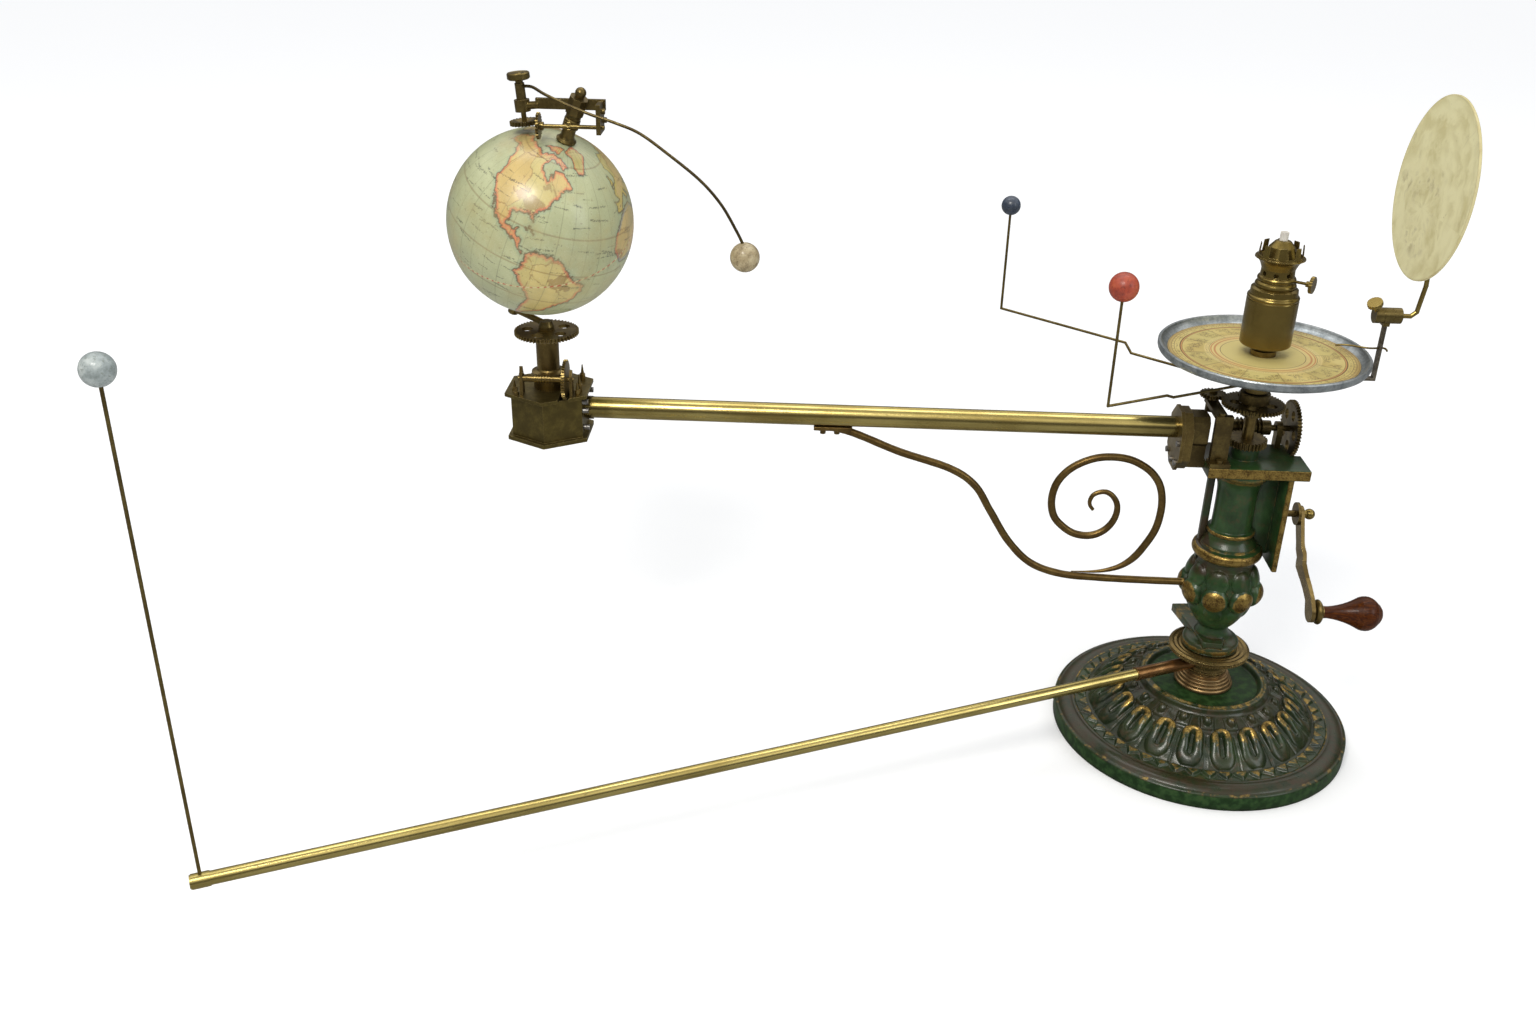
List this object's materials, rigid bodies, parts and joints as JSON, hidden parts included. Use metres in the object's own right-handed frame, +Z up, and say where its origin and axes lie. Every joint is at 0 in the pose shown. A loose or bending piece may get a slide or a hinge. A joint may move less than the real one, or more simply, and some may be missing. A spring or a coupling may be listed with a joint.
{
  "type": "orrery",
  "caption": "Table orrery: hand crank turns a column carrying a long arm with tilted globe and moon, inner and outer planets on wires, a central lamp with reflector and a cast foot.",
  "frame": {"origin": "centre of the underside of the round foot", "axes": "+Z up along the column; the earth arm runs along -X; the crank is on the +X side"},
  "size_m": [0.9455, 0.5366, 0.5816],
  "materials": {
    "ball_blue": "gloss",
    "ball_grey": "satin mottled",
    "ball_moon": "satin speckled",
    "ball_red": "gloss",
    "base_dark": "aged dark green paint, rubbed gilding",
    "brass_aged": "aged brown",
    "brass_bright": "polished, slightly tarnished",
    "card": "aged print",
    "cast_green": "patinated paint, rubbed gilding",
    "cream": "pale silvered brass, swirled",
    "globe_print": "varnished print",
    "steel_dark": "dark brushed",
    "wick_white": "woven",
    "wire_brass": "tarnished wire",
    "wood": "varnished",
    "zinc": "dull zinc grey"
  },
  "bodies": {
    "foot": {"base_casting": "base_dark", "hub_foot": "brass_bright", "spindle": "brass_aged", "fixed_gear": "brass_aged", "sun_wheel": "brass_aged", "dial_plate": "zinc", "dial_card": "card"},
    "lamp": {"lamp_font": "brass_bright", "lamp_burner": "brass_bright"},
    "wick": {"wick": "wick_white"},
    "wick_key": {"wick_key": "brass_bright"},
    "outer_arm": {"outer_hub": "brass_aged", "outer_socket": "brass_aged", "outer_tube": "brass_bright", "outer_rod": "brass_bright", "outer_ball": "ball_grey"},
    "column": {"column_casting": "cast_green", "arm_block": "brass_aged", "flange_plates": "brass_aged", "main_tube": "brass_bright", "gearbox_case": "brass_aged", "gearbox_lid": "brass_aged", "lid_fittings": "brass_aged", "arm_screws": "steel_dark", "bracket_strut": "brass_aged", "bracket_scroll": "brass_aged", "bearing_block": "brass_aged", "shaft_cocks": "brass_aged", "shaft_bushes": "brass_aged"},
    "upper_wheel": {"upper_wheel": "brass_aged", "cross_shaft": "brass_aged"},
    "lower_wheel": {"lower_wheel": "brass_aged"},
    "crank": {"crank_shaft": "brass_aged", "crank_nut": "brass_bright", "crank_lever": "brass_aged"},
    "grip": {"grip_ferrule": "brass_aged", "grip_wood": "wood"},
    "idler": {"idler_gear": "brass_aged"},
    "venus": {"venus_arm": "wire_brass", "venus_ball": "ball_blue"},
    "mercury": {"mercury_arm": "wire_brass", "mercury_ball": "ball_red"},
    "reflector": {"reflector_carrier": "steel_dark", "pointer_wire": "wire_brass", "knuckle": "brass_aged"},
    "thumb_screw": {"thumb_screw": "steel_dark"},
    "mirror": {"reflector_rod": "wire_brass", "reflector_disc": "cream"},
    "turret": {"turret_sleeve": "brass_aged", "turret_wheel": "brass_aged", "polar_axis": "brass_aged", "moon_post": "brass_bright"},
    "globe": {"globe": "globe_print", "south_pinion": "brass_aged"},
    "day_worm": {"day_worm": "brass_aged"},
    "moon_carriage": {"moon_frame": "brass_aged", "moon_wire": "wire_brass", "moon_ball": "ball_moon"},
    "moon_arbor": {"moon_arbor": "brass_aged"},
    "moon_shaft": {"moon_shaft": "brass_aged"}
  },
  "joints": [
    {"name": "column_turn", "type": "hinge", "parent": "foot", "child": "column", "pos_m": [0, 0, 0.15], "axis": [0, 0, 1], "continuous": true},
    {"name": "outer_arm_turn", "type": "hinge", "parent": "foot", "child": "outer_arm", "pos_m": [0, 0, 0.071], "axis": [0, 0, 1], "continuous": true},
    {"name": "venus_turn", "type": "hinge", "parent": "foot", "child": "venus", "pos_m": [0, 0, 0.338], "axis": [0, 0, 1], "continuous": true},
    {"name": "mercury_turn", "type": "hinge", "parent": "foot", "child": "mercury", "pos_m": [0, 0, 0.343], "axis": [0, 0, 1], "continuous": true},
    {"name": "reflector_turn", "type": "hinge", "parent": "foot", "child": "reflector", "pos_m": [0, 0, 0.35], "axis": [0, 0, 1], "continuous": true},
    {"name": "lamp_lift", "type": "slide", "parent": "foot", "child": "lamp", "axis": [0, 0, 1], "range_m": [0, 0.06]},
    {"name": "wick_lift", "type": "slide", "parent": "lamp", "child": "wick", "axis": [0, 0, 1], "range_m": [-0.004, 0.006]},
    {"name": "wick_key_turn", "type": "hinge", "parent": "lamp", "child": "wick_key", "pos_m": [0, 0, 0.43352], "axis": [0.8192, -0.5736, 0], "range_deg": [-90, 135]},
    {"name": "upper_wheel_turn", "type": "hinge", "parent": "column", "child": "upper_wheel", "pos_m": [0.044, 0.026, 0.292], "axis": [1, 0, 0], "continuous": true},
    {"name": "lower_wheel_turn", "type": "hinge", "parent": "column", "child": "lower_wheel", "pos_m": [0.044, 0.026, 0.244], "axis": [1, 0, 0], "continuous": true},
    {"name": "crank_turn", "type": "hinge", "parent": "column", "child": "crank", "pos_m": [0.044, 0.026, 0.21], "axis": [1, 0, 0], "continuous": true},
    {"name": "grip_turn", "type": "hinge", "parent": "crank", "child": "grip", "pos_m": [0.1, -0.02265, 0.13787], "axis": [1, 0, 0], "continuous": true},
    {"name": "idler_turn", "type": "hinge", "parent": "column", "child": "idler", "pos_m": [-0.02902, 0.01957, 0.3237], "axis": [0, 0, 1], "continuous": true},
    {"name": "mirror_tilt", "type": "hinge", "parent": "reflector", "child": "mirror", "pos_m": [0.1, 0, 0.405], "axis": [1, 0, 0], "range_deg": [-25, 25]},
    {"name": "thumb_screw_turn", "type": "hinge", "parent": "reflector", "child": "thumb_screw", "pos_m": [0.08405, -0.00168, 0.4098], "axis": [-0.4198, -0.2999, 0.8566], "range_deg": [-180, 180]},
    {"name": "turret_turn", "type": "hinge", "parent": "column", "child": "turret", "pos_m": [-0.596, 0, 0.345], "axis": [0, 0, 1], "continuous": true},
    {"name": "globe_spin", "type": "hinge", "parent": "turret", "child": "globe", "pos_m": [-0.596, 0, 0.4615], "axis": [0.3453, -0.1994, 0.9171], "continuous": true},
    {"name": "day_worm_turn", "type": "hinge", "parent": "column", "child": "day_worm", "pos_m": [-0.596, -0.0196, 0.333], "axis": [1, 0, 0], "continuous": true},
    {"name": "moon_turn", "type": "hinge", "parent": "turret", "child": "moon_carriage", "pos_m": [-0.596, 0, 0.4615], "axis": [0.3453, -0.1994, 0.9171], "continuous": true},
    {"name": "moon_arbor_turn", "type": "hinge", "parent": "moon_carriage", "child": "moon_arbor", "pos_m": [-0.602, -0.012, 0.5416], "axis": [-0.0872, 0, 0.9962], "continuous": true},
    {"name": "moon_shaft_turn", "type": "hinge", "parent": "moon_carriage", "child": "moon_shaft", "pos_m": [-0.565, -0.0306, 0.5446], "axis": [1, 0, 0], "continuous": true}
  ],
  "couplings": [
    {"joint": "outer_arm_turn", "follows": "column_turn", "ratio": 0.53},
    {"joint": "venus_turn", "follows": "column_turn", "ratio": 1.63},
    {"joint": "mercury_turn", "follows": "column_turn", "ratio": 4.15},
    {"joint": "reflector_turn", "follows": "column_turn", "ratio": 1},
    {"joint": "upper_wheel_turn", "follows": "column_turn", "ratio": 5},
    {"joint": "lower_wheel_turn", "follows": "column_turn", "ratio": -5},
    {"joint": "crank_turn", "follows": "column_turn", "ratio": 12},
    {"joint": "idler_turn", "follows": "column_turn", "ratio": 2.5},
    {"joint": "turret_turn", "follows": "column_turn", "ratio": -1},
    {"joint": "globe_spin", "follows": "column_turn", "ratio": 12},
    {"joint": "day_worm_turn", "follows": "column_turn", "ratio": 12},
    {"joint": "moon_turn", "follows": "column_turn", "ratio": 12.4},
    {"joint": "moon_arbor_turn", "follows": "column_turn", "ratio": -12.4},
    {"joint": "moon_shaft_turn", "follows": "column_turn", "ratio": 12.4},
    {"joint": "wick_lift", "follows": "wick_key_turn", "m_per_rad": 0.0015915}
  ]
}
